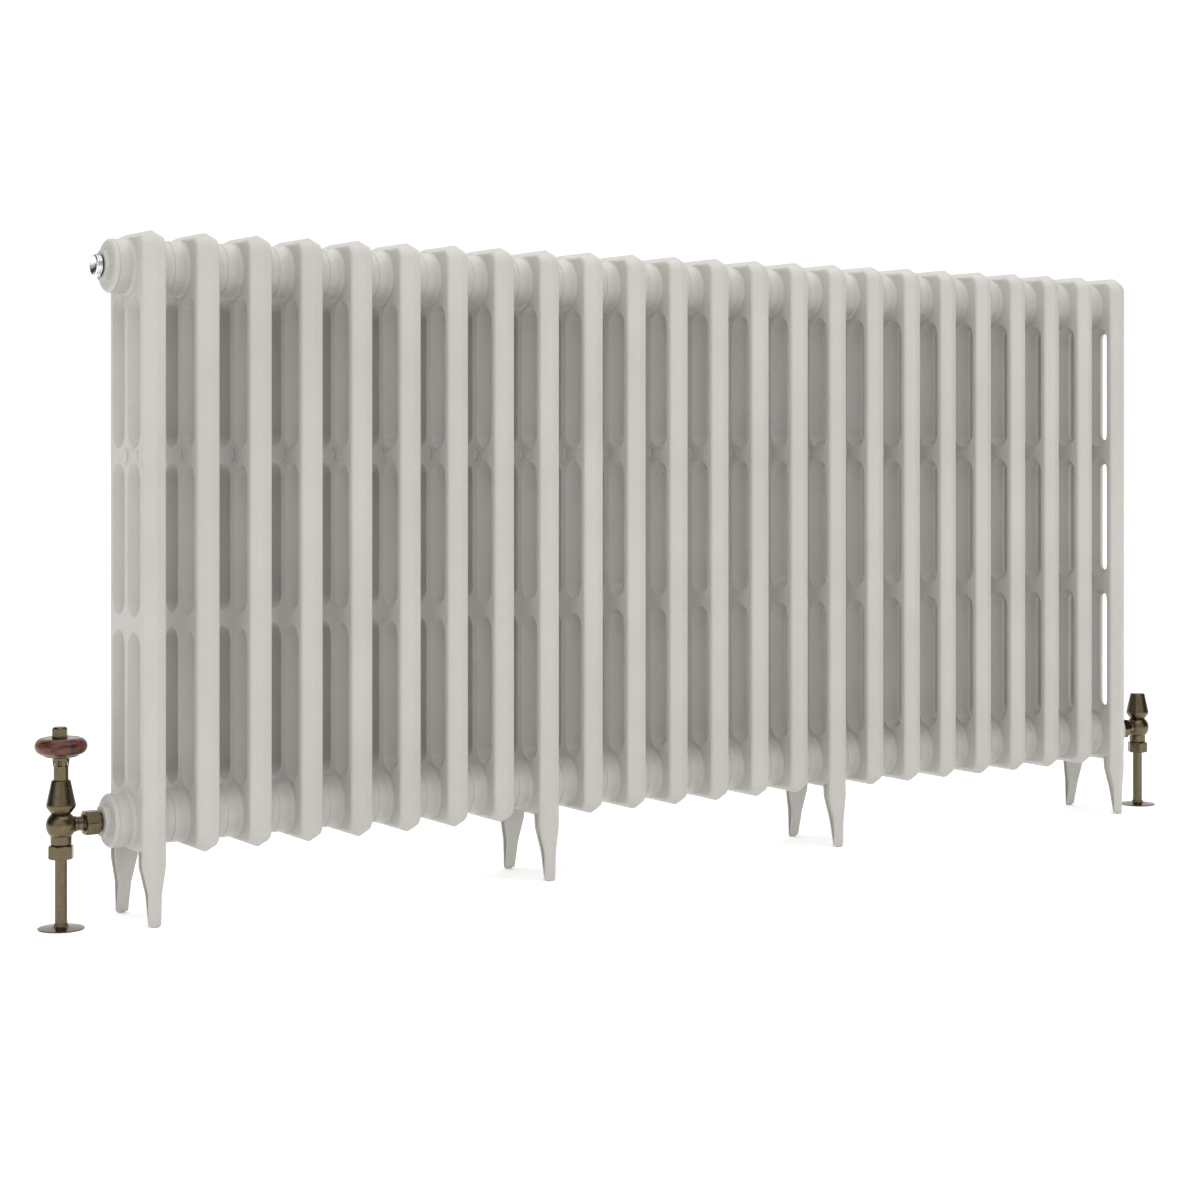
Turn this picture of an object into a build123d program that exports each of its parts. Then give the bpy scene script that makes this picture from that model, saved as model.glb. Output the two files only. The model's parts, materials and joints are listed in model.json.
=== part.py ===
"""Free-standing column radiator of 24 cast iron sections, with its valves, vent, plug and pipes.

Frame: +X along the length, +Y to the back, +Z up, feet on Z = 0. The origin is the middle of the
footprint: half way between the outermost edges in X, and on the hub axis in Y. Millimetres.
"""

import os
from math import atan, cos, degrees, radians

from build123d import *

os.makedirs("parts", exist_ok=True)

# ---- the stack of sections ----
SECTION_COUNT = 24
FOOTED = (1, 9, 16, 24)  # these sections are cast with legs
PITCH = 60.0  # hub face to hub face, which sets the spacing
HUB_SPACING = 579.5  # lower hub axis to upper hub axis
HUB_EDGE = 36.0  # hub axis to the nearest end of a section
LEG_HEIGHT = 71.0  # floor to the underside of a section
DEPTH = 103.5  # front ridge to back ridge
JOINT_RING = 0.6  # thickness of the sealing ring in each joint

# ---- the shape of one section ----
HALF_THICKNESS = 13.2  # parting plane to side face
CORNER_RADIUS = 18.0
FACET_RUN = 6.1  # how far the side face stands back from the outer ridge
FACET_ROUND = 4.5
OUTER_RIM = 6.9  # flat rim of the front and back columns
MIDDLE_RIM = 9.4  # flat rim of the middle column
SLOT_DRAFT = 8.7  # a slot's wall leans in by this much on its way to the parting plane
SLOT_EDGE_ROUND = 1.0
SLOT_TO_HUB = 29.5  # end of the nearest slot to the hub axis
BRIDGE_BELOW_HUB = 198.3  # upper hub axis to the middle of the upper bridge
BRIDGE_SPACING = 175.6
BRIDGE_HEIGHT = 15.5
BOSS_RADIUS = 28.4
BOSS_FLARE = 4.0
HUB_BORE = 20.4
WALL = 4.4  # iron around the waterways

# ---- legs ----
KNEE_HEIGHT = 61.0  # the leg starts to narrow here
ANKLE_HEIGHT = 34.0  # and is narrow from here down
KNEE_DEPTH = 19.5
ANKLE_DEPTH = 15.5
FOOT_DEPTH = 7.2
ANKLE_HALF = 7.5  # half the thickness at the ankle
FOOT_HALF = 6.8
FOOT_SET_BACK = 0.9
LEG_RECESS = 2.8  # the leg's web lies this far inside its front flange
LEG_RIM = 2.2  # width of the rim along the back of that recess
RIM_INSET = 0.4
LEG_BLUNT = 2.25  # how much is rounded off the flange's corner
FOOT_NIB = 1.8  # height of the small pad that touches the floor
NIB_TAPER = 20.0  # degrees
LEG_INSET = 0.3  # how far the leg's root dives into the section
LEG_ROOT = 6.0  # and how far it runs up past the section's rounded corner

# ---- casting marks on the left face of each section ----
NUB_HEIGHT = 14.6
NUB_WIDTH = 11.0
NUB_PROUD = 1.9
PAD_LENGTH = 21.0
PAD_HEIGHT = 10.9
PAD_PROUD = 0.6

# ---- hub fittings ----
THREAD_CLEARANCE = 0.05  # plain cylinders stand for threads
NIPPLE_LENGTH = 36.0
NIPPLE_BORE = 15.5
RING_INSET = 0.5
FLANGE_THICKNESS = 4.7
FLANGE_CHAMFER = 2.6
BUSH_ENGAGEMENT = 16.0
BUSH_HEX = 31.0
BUSH_HEX_LENGTH = 6.2
BUSH_BORE = 8.7
PLUG_RADIUS = 11.85
PLUG_LENGTH = 6.0
PLUG_ENGAGEMENT = 14.0
SEAL_THICKNESS = 2.0
VENT_SCREW_RADIUS = 2.0
KEY_SQUARE = 3.6
DISH_DEPTH = 4.0
DISH_RADIUS = 4.5  # of the dish's flat floor
WEEP_RADIUS = 0.7
SOCKET_HEX = 12.0
SOCKET_DEPTH = 9.0

# ---- valves ----
VALVE_REACH = 84.0  # parting plane of an end section to the valve's upright axis
BALL_RADIUS = 15.5
BALL_CUT = 12.3
NUT_HEX = 24.0
PIPE_RADIUS = 6.35
PIPE_WALL = 0.8
SOCKET_CLEARANCE = 0.1
VALVE_THREAD = 9.6
SEAT_BORE = 4.0
CHAMBER_BORE = 7.0
DISC_RADIUS = 4.6
VALVE_LIFT = 2.5
STEM_RADIUS = 2.0
RUNNING_CLEARANCE = 0.05
SKIRT_BASE_RADIUS = 15.2
SKIRT_TOP_RADIUS = 9.9
NECK_RADIUS = 7.65
WHEEL_RADIUS = 27.0
WHEEL_THICKNESS = 17.2
PLATE_RADIUS = 18.5
SPINDLE_RADIUS = 4.5
ROSETTE_RADIUS = 24.0
ROSETTE_HEIGHT = 5.5
ROSETTE_WALL = 1.0
MOVING_GAP = 0.3

# ---- what follows from them ----
LOWER_HUB = LEG_HEIGHT + HUB_EDGE
UPPER_HUB = LOWER_HUB + HUB_SPACING
HEIGHT = UPPER_HUB + HUB_EDGE
HALF_DEPTH = DEPTH / 2
STACK = (SECTION_COUNT - 1) * PITCH
LEFT_EDGE = -(VALVE_REACH + WHEEL_RADIUS)
RIGHT_EDGE = STACK + VALVE_REACH + ROSETTE_RADIUS
FIRST_X = -(LEFT_EDGE + RIGHT_EDGE) / 2
LAST_X = FIRST_X + STACK
HUB_FACE = (PITCH - JOINT_RING) / 2
SLOT_WIDTH = (DEPTH - MIDDLE_RIM) / 2 - FACET_RUN - OUTER_RIM
SLOT_Y = (MIDDLE_RIM + SLOT_WIDTH) / 2


def save(name, shape):
    export_step(shape, f"parts/{name}.step")


def turned(points):
    """A solid of revolution about Z from its half outline, given as (radius, height) points."""
    return revolve(Plane.XZ * make_face(Polyline(*points, close=True)), Axis.Z)


def rod(radius, bottom, top):
    """A round bar on the Z axis between two heights."""
    return Pos(0, 0, bottom) * Cylinder(radius, top - bottom, align=(Align.CENTER, Align.CENTER, Align.MIN))


def tube(outer, inner, bottom, top):
    return rod(outer, bottom, top) - rod(inner, bottom, top)


def hexagon(across_flats, length, corner_angle=0.0):
    """A hexagonal bar standing on Z = 0, with one of its corners at the given angle."""
    return extrude(RegularPolygon(across_flats / 2, 6, major_radius=False, rotation=corner_angle), length)


def along_x(shape):
    """Lays a part that was made about Z along +X."""
    return Rot(0, 90, 0) * shape


def group(solids):
    return Compound(children=list(solids))


# ---- the sections ----
def body_prism(reach):
    """The section's side outline, leaning in from the ridge at the angle of the outer facets."""
    facet_angle = degrees(atan(FACET_RUN / HALF_THICKNESS))
    body_height = HUB_SPACING + 2 * HUB_EDGE
    outline = Pos(0, 0, LEG_HEIGHT + body_height / 2) * (
        Plane.YZ * RectangleRounded(DEPTH, body_height, CORNER_RADIUS)
    )
    return extrude(outline, amount=reach, taper=facet_angle, both=True)


def slot_spans():
    """The lower and upper end of each of the three slots in a row, at the side face."""
    upper_bridge = UPPER_HUB - BRIDGE_BELOW_HUB
    lower_bridge = upper_bridge - BRIDGE_SPACING
    half_bridge = BRIDGE_HEIGHT / 2
    return (
        (LOWER_HUB + SLOT_TO_HUB, lower_bridge - half_bridge),
        (lower_bridge + half_bridge, upper_bridge - half_bridge),
        (upper_bridge + half_bridge, UPPER_HUB - SLOT_TO_HUB),
    )


def slot_cutter(y, bottom, top):
    """An hourglass slot: narrow at the parting plane, wide and round-ended at both side faces."""
    draft_angle = degrees(atan(SLOT_DRAFT / HALF_THICKNESS))
    waist_height = top - bottom - 2 * SLOT_DRAFT
    waist_width = SLOT_WIDTH - 2 * SLOT_DRAFT
    waist = Pos(0, y, (bottom + top) / 2) * (
        Plane.YZ * SlotOverall(waist_height, waist_width, rotation=90)
    )
    return extrude(waist, amount=HALF_THICKNESS, taper=-draft_angle, both=True)


def columns():
    """The three columns and their bridges, with every edge of the casting rounded."""
    body = body_prism(HALF_THICKNESS)
    body = fillet(side_edges(body), FACET_ROUND)
    slots = [slot_cutter(y, *span) for y in (-SLOT_Y, SLOT_Y) for span in slot_spans()]
    body = body - slots
    mouths = [edge for edge in side_edges(body) if abs(edge.center().Y) < SLOT_Y + SLOT_WIDTH / 2 + 0.1]
    return fillet(mouths, SLOT_EDGE_ROUND)


def side_edges(body):
    """The edges that lie in the two side faces."""
    return [edge for edge in body.edges() if abs(abs(edge.center().X) - HALF_THICKNESS) < 1e-3]


def hub_boss(height):
    """A hub on both faces: a short pipe along X that flares out where it meets the section."""
    barrel = along_x(Cylinder(BOSS_RADIUS, 2 * HUB_FACE))
    flare_radius = BOSS_RADIUS + BOSS_FLARE
    flare_top = HALF_THICKNESS + BOSS_FLARE
    foot_of_flare = (flare_radius, HALF_THICKNESS)
    flare_outline = make_face(
        [
            Polyline((BOSS_RADIUS, flare_top), (0, flare_top), (0, 0), (flare_radius, 0), foot_of_flare),
            RadiusArc(foot_of_flare, (BOSS_RADIUS, flare_top), BOSS_FLARE),
        ]
    )
    flare = along_x(revolve(Plane.XZ * flare_outline, Axis.Z))
    flares = Pos(0, 0, height) * (flare + mirror(flare, about=Plane.YZ))
    return Pos(0, 0, height) * barrel + (flares & body_prism(flare_top))


def waterways():
    """The hollow that the water fills: three upright channels, joined by a header along Y at each hub."""
    outer_column = FACET_RUN + OUTER_RIM + SLOT_DRAFT
    middle_column = MIDDLE_RIM + 2 * SLOT_DRAFT
    side_room = HALF_THICKNESS - WALL
    outer_y = HALF_DEPTH - outer_column / 2
    middle = extrude(Pos(0, 0, LOWER_HUB) * Ellipse(side_room, middle_column / 2 - WALL), HUB_SPACING)
    outer = extrude(Ellipse(side_room, outer_column / 2 - WALL), HUB_SPACING)
    hollow = middle + [Pos(0, y, LOWER_HUB) * outer for y in (-outer_y, outer_y)]
    for height in (LOWER_HUB, UPPER_HUB):
        header = Rot(90, 0, 0) * Cylinder(side_room, 2 * outer_y)
        bore = along_x(Cylinder(HUB_BORE, 2 * HUB_FACE))
        hollow += Pos(0, 0, height) * (header + bore)
    return hollow


def leg_corners(half, front, depth):
    """Right halves of the three outlines in a level cut through the front leg: flange, web and rim."""
    facet = FACET_RUN * half / HALF_THICKNESS
    back = front + depth
    flange = [
        (0, front),
        (half - LEG_BLUNT, front + facet * (1 - LEG_BLUNT / half)),
        (half, front + facet + LEG_BLUNT / 2),
        (half, front + facet + LEG_BLUNT),
    ]
    web = [(half - LEG_RECESS, front + facet), (half - LEG_RECESS, back - LEG_RIM / 2)]
    rim = [(half - RIM_INSET, back - LEG_RIM), (half - RIM_INSET, back - RIM_INSET), (half - LEG_RECESS, back)]
    return flange, web, rim


def level_face(right_half, height):
    """Closes a half outline with its own mirror image, as a face at the given height."""
    left_half = [(-x, y) for x, y in reversed(right_half) if x > 0]
    return make_face(Polyline(*[(x, y, height) for x, y in right_half + left_half], close=True))


def leg():
    """The front leg: a faceted flange, a thinner web behind it, and a rim along the web's back edge."""
    front = -HALF_DEPTH
    root = LEG_HEIGHT + CORNER_RADIUS + LEG_ROOT
    stations = (
        (root, HALF_THICKNESS - LEG_INSET, front + LEG_INSET, KNEE_DEPTH + 3),
        (KNEE_HEIGHT, HALF_THICKNESS - LEG_INSET, front, KNEE_DEPTH),
        (ANKLE_HEIGHT, ANKLE_HALF, front, ANKLE_DEPTH),
        (FOOT_NIB, FOOT_HALF, front + FOOT_SET_BACK, FOOT_DEPTH),
    )
    cuts = []
    for height, half, ridge, depth in stations:
        cuts.append([level_face(right_half, height) for right_half in leg_corners(half, ridge, depth)])
    flange, web, rim = [loft(faces, ruled=True) for faces in zip(*cuts)]
    nib = extrude(foot_pad(), FOOT_NIB, taper=-NIB_TAPER)
    return flange + web + rim + nib


def foot_pad():
    """The small face under a foot that stands on the floor."""
    pad_y = -HALF_DEPTH + FOOT_SET_BACK + FOOT_DEPTH / 2
    return Pos(0, pad_y, 0) * Rectangle(FOOT_HALF, FOOT_DEPTH / 2)


def casting_marks():
    """A raised oval on the middle column and a plain raised pad beside it, at the upper bridge."""
    height = UPPER_HUB - BRIDGE_BELOW_HUB
    to_left_face = Rot(0, -90, 0)
    nub = extrude(Ellipse(NUB_HEIGHT / 2, NUB_WIDTH / 2), HALF_THICKNESS + NUB_PROUD)
    nub = fillet(nub.edges().group_by(Axis.Z)[-1], NUB_PROUD * 0.7)
    pad = extrude(Rectangle(PAD_HEIGHT, PAD_LENGTH), HALF_THICKNESS + PAD_PROUD)
    shaft_side = Pos(0, 0, height) * to_left_face
    return shaft_side * nub + shaft_side * Pos(0, -SLOT_Y, 0) * pad


def section(footed):
    """One casting: columns, hubs, marks and, where it is footed, two legs; hollow for the water."""
    body = columns() + [hub_boss(LOWER_HUB), hub_boss(UPPER_HUB)] + casting_marks()
    if footed:
        front_leg = leg()
        body = body + front_leg + mirror(front_leg, about=Plane.XZ)
    return body - waterways()


# ---- joints between sections ----
def nipple():
    """A plain tube for the left-and-right threaded nipple that pulls two hubs together."""
    half = NIPPLE_LENGTH / 2
    return along_x(tube(HUB_BORE - THREAD_CLEARANCE, NIPPLE_BORE, -half, half))


def sealing_ring():
    half = JOINT_RING / 2
    return along_x(tube(BOSS_RADIUS - RING_INSET, HUB_BORE + RING_INSET, -half, half))


def at_joints(shape):
    """Copies of a part at every joint between two neighbouring sections, upper and lower."""
    places = [FIRST_X + (joint + 0.5) * PITCH for joint in range(SECTION_COUNT - 1)]
    return [Pos(x, 0, height) * shape for height in (LOWER_HUB, UPPER_HUB) for x in places]


# ---- end fittings: made about Z with the head upwards from the joint plane ----
SEAT = JOINT_RING / 2
FLANGE_TOP = SEAT + FLANGE_THICKNESS
BUSH_FACE = FLANGE_TOP + BUSH_HEX_LENGTH
PLUG_SEAT = BUSH_FACE + SEAL_THICKNESS
PLUG_FACE = PLUG_SEAT + PLUG_LENGTH


def at_hub(shape, right, height):
    """Lays an end fitting on the outer face of an end hub, with its head pointing away from it."""
    if right:
        return Pos(LAST_X + PITCH / 2, 0, height) * Rot(0, 90, 0) * shape
    return Pos(FIRST_X - PITCH / 2, 0, height) * Rot(0, -90, 0) * shape


def bush():
    """The reducing bush that screws into an end hub: barrel, round flange and hexagon."""
    flange = turned(
        [
            (0, SEAT),
            (BOSS_RADIUS, SEAT),
            (BOSS_RADIUS, FLANGE_TOP - FLANGE_CHAMFER),
            (BOSS_RADIUS - FLANGE_CHAMFER, FLANGE_TOP),
            (0, FLANGE_TOP),
        ]
    )
    head = Pos(0, 0, FLANGE_TOP) * hexagon(BUSH_HEX, BUSH_HEX_LENGTH, corner_angle=90)
    barrel = rod(HUB_BORE - THREAD_CLEARANCE, -BUSH_ENGAGEMENT, SEAT)
    return flange + head + barrel - rod(BUSH_BORE, -BUSH_ENGAGEMENT, BUSH_FACE)


def vent_seal():
    return tube(PLUG_RADIUS - 0.2, BUSH_BORE, BUSH_FACE, PLUG_SEAT)


def blank_plug():
    """Closes the hub that has no fitting: a threaded plug, flush with the hub, with a hexagon socket."""
    plug_face = -JOINT_RING / 2
    socket = Pos(0, 0, plug_face - SOCKET_DEPTH) * hexagon(SOCKET_HEX, SOCKET_DEPTH)
    return rod(HUB_BORE - THREAD_CLEARANCE, plug_face - BUSH_ENGAGEMENT, plug_face) - socket


def vent_plug():
    """The air vent's body: a chromed plug with two grooves round its head and a dished face.

    It is bored for the bleed screw, and a small weep hole leads out from the dish.
    """
    groove = PLUG_LENGTH / 6
    barrel = rod(BUSH_BORE - THREAD_CLEARANCE, PLUG_SEAT - PLUG_ENGAGEMENT, PLUG_SEAT)
    waist = PLUG_RADIUS - 0.9
    head = turned(
        [
            (0, PLUG_SEAT),
            (PLUG_RADIUS, PLUG_SEAT),
            (PLUG_RADIUS, PLUG_SEAT + groove),
            (waist, PLUG_SEAT + 1.5 * groove),
            (PLUG_RADIUS, PLUG_SEAT + 2 * groove),
            (PLUG_RADIUS, PLUG_SEAT + 3 * groove),
            (waist, PLUG_SEAT + 3.5 * groove),
            (PLUG_RADIUS - 0.3, PLUG_SEAT + 4 * groove),
            (PLUG_RADIUS - 0.3, PLUG_SEAT + 5 * groove),
            (PLUG_RADIUS - 1.3, PLUG_FACE),
            (0, PLUG_FACE),
        ]
    )
    dish_floor = PLUG_FACE - DISH_DEPTH
    dish_outline = [(0, dish_floor), (DISH_RADIUS, dish_floor), (PLUG_RADIUS - 2.2, PLUG_FACE), (0, PLUG_FACE)]
    bore = rod(VENT_SCREW_RADIUS + RUNNING_CLEARANCE, PLUG_SEAT - PLUG_ENGAGEMENT, PLUG_FACE)
    weep_hole = Pos(0, 0, dish_floor - 1) * Rot(0, -90, 0) * rod(WEEP_RADIUS, 0, PLUG_RADIUS)
    return barrel + head - turned(dish_outline) - bore - weep_hole


def vent_screw():
    """The bleed screw: a round stem with a pointed end and a square for the key."""
    stem_end = PLUG_SEAT - PLUG_ENGAGEMENT + 2
    square_from = PLUG_FACE - DISH_DEPTH + 0.5
    point = turned([(0, stem_end), (VENT_SCREW_RADIUS, stem_end + 1.5), (0, stem_end + 1.5)])
    stem = rod(VENT_SCREW_RADIUS, stem_end + 1.5, square_from)
    square = extrude(Pos(0, 0, square_from) * Rectangle(KEY_SQUARE, KEY_SQUARE), DISH_DEPTH - 1.2)
    return point + stem + square


# ---- valves: made about the middle of the ball, with the outlet towards +X ----
NECK_END = BALL_RADIUS + 6.5
UNION_START = NECK_END + 2.5
UNION_THREAD = 9.0
UNION_NUT_LENGTH = 15.0
UNION_END = UNION_START + UNION_NUT_LENGTH
NUT_CLEARANCE = 0.05
NUT_WALL = 3.4
TAIL_TUBE = 7.5
TAIL_COLLAR = 9.4
TAIL_ENGAGEMENT = 18.0
OUTLET_BORE = 4.8
OUTLET_RADIUS = 7.4
LOWER_NECK_RADIUS = 10.85
LOWER_NECK_END = -20.8
LOWER_THREAD_END = LOWER_NECK_END - 6.2
LOWER_NUT_END = LOWER_NECK_END - 13.8
LOWER_NUT_WALL = 2.6
OLIVE_LENGTH = 4.9
PIPE_STOP = -14.0
SKIRT_THREAD = 9.2
SKIRT_START = BALL_CUT + MOVING_GAP
SKIRT_WIDEST = BALL_CUT + 6.7
SKIRT_END = 46.7
SKIRT_CAVITY = 8.4
UPPER_NECK_END = 20.0
BONNET_BASE = 5.0
BONNET_TOP = 30.0
STEM_TOP = 33.0
SENSOR_RADIUS = 6.0
NECK_BORE = 6.3
NECK_BASE = 34.0
NECK_TOP = 60.3
COLLAR_TOP = 70.2
COLLAR_RADIUS = 8.9
WINDOW_COUNT = 6
WINDOW_WIDTH = 5.0
WINDOW_HEIGHT = 6.4
PLATE_BASE = COLLAR_TOP + MOVING_GAP
WHEEL_BASE = PLATE_BASE + 2.6
WHEEL_TOP = WHEEL_BASE + WHEEL_THICKNESS
FINIAL_HEX = 14.8
FINIAL_HEIGHT = 11.3
SPINDLE_END = 4.0
WHEEL_HUB_RADIUS = 4.0
INLAY_WIDTH = 3.0
INLAY_DEPTH = 6.0
INLAY_ANGLE = -84.0


def valve_body():
    """The brass ball body: side outlet to the union, socket for the pipe below, chamber above."""
    ball = Sphere(BALL_RADIUS) & rod(BALL_RADIUS + 1, -BALL_CUT, BALL_CUT)
    lower_neck = turned(
        [
            (0, LOWER_NECK_END),
            (LOWER_NECK_RADIUS - 0.65, LOWER_NECK_END),
            (LOWER_NECK_RADIUS, LOWER_NECK_END + 2),
            (LOWER_NECK_RADIUS, 0),
            (0, 0),
        ]
    )
    outlet = turned(
        [
            (0, 0),
            (OUTLET_RADIUS + 0.9, 0),
            (OUTLET_RADIUS + 0.9, BALL_RADIUS),
            (OUTLET_RADIUS, BALL_RADIUS + 1),
            (OUTLET_RADIUS, NECK_END),
            (OUTLET_RADIUS + 1.7, NECK_END + 1.5),
            (OUTLET_RADIUS + 1.7, UNION_START),
            (0, UNION_START),
        ]
    )
    threads = (
        rod(VALVE_THREAD, LOWER_THREAD_END, LOWER_NECK_END)
        + rod(SKIRT_THREAD, 0, UPPER_NECK_END)
        + along_x(rod(VALVE_THREAD, UNION_START, UNION_START + UNION_THREAD))
    )
    seat_level = -DISC_RADIUS / 2
    pipe_socket = rod(PIPE_RADIUS + SOCKET_CLEARANCE, LOWER_THREAD_END, PIPE_STOP)
    seat_bore = rod(SEAT_BORE, PIPE_STOP, seat_level)
    chamber = rod(CHAMBER_BORE, seat_level, UPPER_NECK_END)
    outlet_bore = along_x(rod(OUTLET_BORE, 0, UNION_START + UNION_THREAD))
    solid = ball + lower_neck + along_x(outlet) + threads
    return solid - pipe_socket - seat_bore - chamber - outlet_bore


def union_nut():
    shell = hexagon(NUT_HEX, UNION_NUT_LENGTH) & blunt_ends(UNION_NUT_LENGTH)
    cavity = rod(VALVE_THREAD + NUT_CLEARANCE, 0, UNION_NUT_LENGTH - NUT_WALL)
    back_hole = rod(TAIL_TUBE + SOCKET_CLEARANCE, 0, UNION_NUT_LENGTH)
    return along_x(Pos(0, 0, UNION_START) * Rot(0, 0, 90) * (shell - cavity - back_hole))


def blunt_ends(length):
    """A turned envelope that cuts the corners off both ends of a hexagon nut."""
    corner = NUT_HEX / 2 / cos(radians(30)) + 0.01
    flat = NUT_HEX / 2
    chamfer = (corner - flat) * 0.6
    return turned([(0, 0), (flat, 0), (corner, chamfer), (corner, length - chamfer), (flat, length), (0, length)])


def union_tail():
    """The tail that screws into the radiator's bush; its flange is drawn up by the union nut."""
    bush_seat = VALVE_REACH - PITCH / 2 - BUSH_FACE
    flange_start = UNION_START + UNION_THREAD
    flange_end = UNION_END - NUT_WALL
    outside = turned(
        [
            (0, flange_start),
            (TAIL_COLLAR, flange_start),
            (TAIL_COLLAR, flange_end),
            (TAIL_TUBE, flange_end),
            (TAIL_TUBE, UNION_END),
            (TAIL_COLLAR, UNION_END),
            (TAIL_COLLAR, bush_seat),
            (BUSH_BORE - THREAD_CLEARANCE, bush_seat),
            (BUSH_BORE - THREAD_CLEARANCE, bush_seat + TAIL_ENGAGEMENT),
            (0, bush_seat + TAIL_ENGAGEMENT),
        ]
    )
    return along_x(outside - rod(OUTLET_BORE, flange_start, bush_seat + TAIL_ENGAGEMENT))


def compression_nut():
    """The hexagon nut that squeezes the olive onto the pipe."""
    length = LOWER_NECK_END - LOWER_NUT_END
    shell = Pos(0, 0, LOWER_NUT_END) * (hexagon(NUT_HEX, length) & blunt_ends(length))
    cavity = rod(VALVE_THREAD + NUT_CLEARANCE, LOWER_NUT_END + LOWER_NUT_WALL, LOWER_NECK_END)
    return shell - cavity - rod(PIPE_RADIUS + SOCKET_CLEARANCE, LOWER_NUT_END, LOWER_NECK_END)


def olive():
    """The soft brass ring between the body's end and the nut's floor, thickest in the middle."""
    bottom = LOWER_THREAD_END - OLIVE_LENGTH
    inner = PIPE_RADIUS + RUNNING_CLEARANCE
    outer = PIPE_RADIUS + 1.9
    return turned(
        [
            (inner, bottom),
            (inner + 0.8, bottom),
            (outer, bottom + OLIVE_LENGTH / 2 - 0.6),
            (outer, bottom + OLIVE_LENGTH / 2 + 0.6),
            (inner + 0.8, LOWER_THREAD_END),
            (inner, LOWER_THREAD_END),
        ]
    )


def pipe():
    """The upright pipe from the floor into the valve's socket."""
    return tube(PIPE_RADIUS, PIPE_RADIUS - PIPE_WALL, -LOWER_HUB, PIPE_STOP)


def rosette():
    """The loose cover plate that rests on the floor round the pipe."""
    bore = PIPE_RADIUS + SOCKET_CLEARANCE
    collar = bore + ROSETTE_WALL
    outline = [
        (bore, 0),
        (ROSETTE_RADIUS, 0),
        (ROSETTE_RADIUS, 1.0),
        (collar + 2, 2.6),
        (collar, 3.6),
        (collar, ROSETTE_HEIGHT),
        (bore, ROSETTE_HEIGHT),
    ]
    return Pos(0, 0, -LOWER_HUB) * turned(outline)


def bonnet():
    """The insert that screws into the chamber and guides the valve's stem."""
    outside = turned(
        [
            (0, BONNET_BASE),
            (CHAMBER_BORE - THREAD_CLEARANCE, BONNET_BASE),
            (CHAMBER_BORE - THREAD_CLEARANCE, UPPER_NECK_END),
            (SKIRT_CAVITY - 0.4, UPPER_NECK_END),
            (SKIRT_CAVITY - 0.4, UPPER_NECK_END + 3),
            (5, UPPER_NECK_END + 4),
            (5, BONNET_TOP),
            (0, BONNET_TOP),
        ]
    )
    return outside - rod(STEM_RADIUS + RUNNING_CLEARANCE, BONNET_BASE, BONNET_TOP)


def disc():
    """The valve disc, standing just clear of its seat."""
    seat_level = -DISC_RADIUS / 2
    return rod(DISC_RADIUS, seat_level + MOVING_GAP, seat_level + MOVING_GAP + DISC_RADIUS - 0.3)


def valve_pin():
    """The thermostatic valve's pin, in one piece with its disc."""
    return disc() + rod(STEM_RADIUS, 0, STEM_TOP)


def skirt_outline(top_inset):
    """Half outline of the cone that hides the bonnet: a bevel, a narrow band, then the long taper."""
    return [
        (10.6, SKIRT_START),
        (SKIRT_BASE_RADIUS, SKIRT_WIDEST),
        (SKIRT_BASE_RADIUS, SKIRT_WIDEST + 2.2),
        (SKIRT_TOP_RADIUS, SKIRT_END - top_inset),
        (SKIRT_TOP_RADIUS - top_inset, SKIRT_END),
    ]


def skirt():
    """The thermostatic valve's cone, screwed onto the body's upper neck."""
    outside = turned([(0, SKIRT_START)] + skirt_outline(0.5) + [(0, SKIRT_END)])
    thread_hole = rod(SKIRT_THREAD + THREAD_CLEARANCE, SKIRT_START, UPPER_NECK_END)
    cavity = rod(SKIRT_CAVITY, UPPER_NECK_END, NECK_BASE)
    return outside - thread_hole - cavity - rod(NECK_RADIUS, NECK_BASE, SKIRT_END)


def neck():
    """The tube above the skirt that holds the sensor, with a windowed collar under the wheel."""
    outside = turned(
        [
            (0, NECK_BASE),
            (NECK_RADIUS, NECK_BASE),
            (NECK_RADIUS, NECK_TOP),
            (NECK_RADIUS + 0.3, NECK_TOP + 1),
            (COLLAR_RADIUS, COLLAR_TOP - 2),
            (COLLAR_RADIUS, COLLAR_TOP),
            (0, COLLAR_TOP),
        ]
    )
    collar_bore = rod(COLLAR_RADIUS - 1.8, NECK_TOP, COLLAR_TOP)
    opening = Pos(COLLAR_RADIUS, 0, NECK_TOP + 4) * Box(COLLAR_RADIUS, WINDOW_WIDTH, WINDOW_HEIGHT)
    windows = [Rot(0, 0, 360 * window / WINDOW_COUNT) * opening for window in range(WINDOW_COUNT)]
    guide = rod(SPINDLE_RADIUS + RUNNING_CLEARANCE, NECK_BASE, COLLAR_TOP)
    return outside - rod(NECK_BORE, NECK_BASE, NECK_TOP - 3) - collar_bore - guide - windows


def sensor():
    """The sealed wax capsule inside the neck."""
    return turned(
        [(0, 36), (2, 36), (2, 37.5), (SENSOR_RADIUS, 37.5), (SENSOR_RADIUS, NECK_TOP - 5), (0, NECK_TOP - 5)]
    )


def spindle():
    """The wheel's spindle: through the collar's guide, the plate and the wheel, into the finial."""
    lower = rod(SPINDLE_RADIUS, NECK_TOP - SPINDLE_END, PLATE_BASE)
    return lower + rod(WHEEL_HUB_RADIUS, PLATE_BASE, WHEEL_TOP + FINIAL_HEIGHT / 2)


def plate():
    """The thin brass plate under the wheel, bevelled on its lower edge."""
    outline = [
        (WHEEL_HUB_RADIUS, PLATE_BASE),
        (PLATE_RADIUS - 3, PLATE_BASE),
        (PLATE_RADIUS, PLATE_BASE + 1.4),
        (PLATE_RADIUS, WHEEL_BASE),
        (WHEEL_HUB_RADIUS, WHEEL_BASE),
    ]
    return turned(outline)


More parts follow.
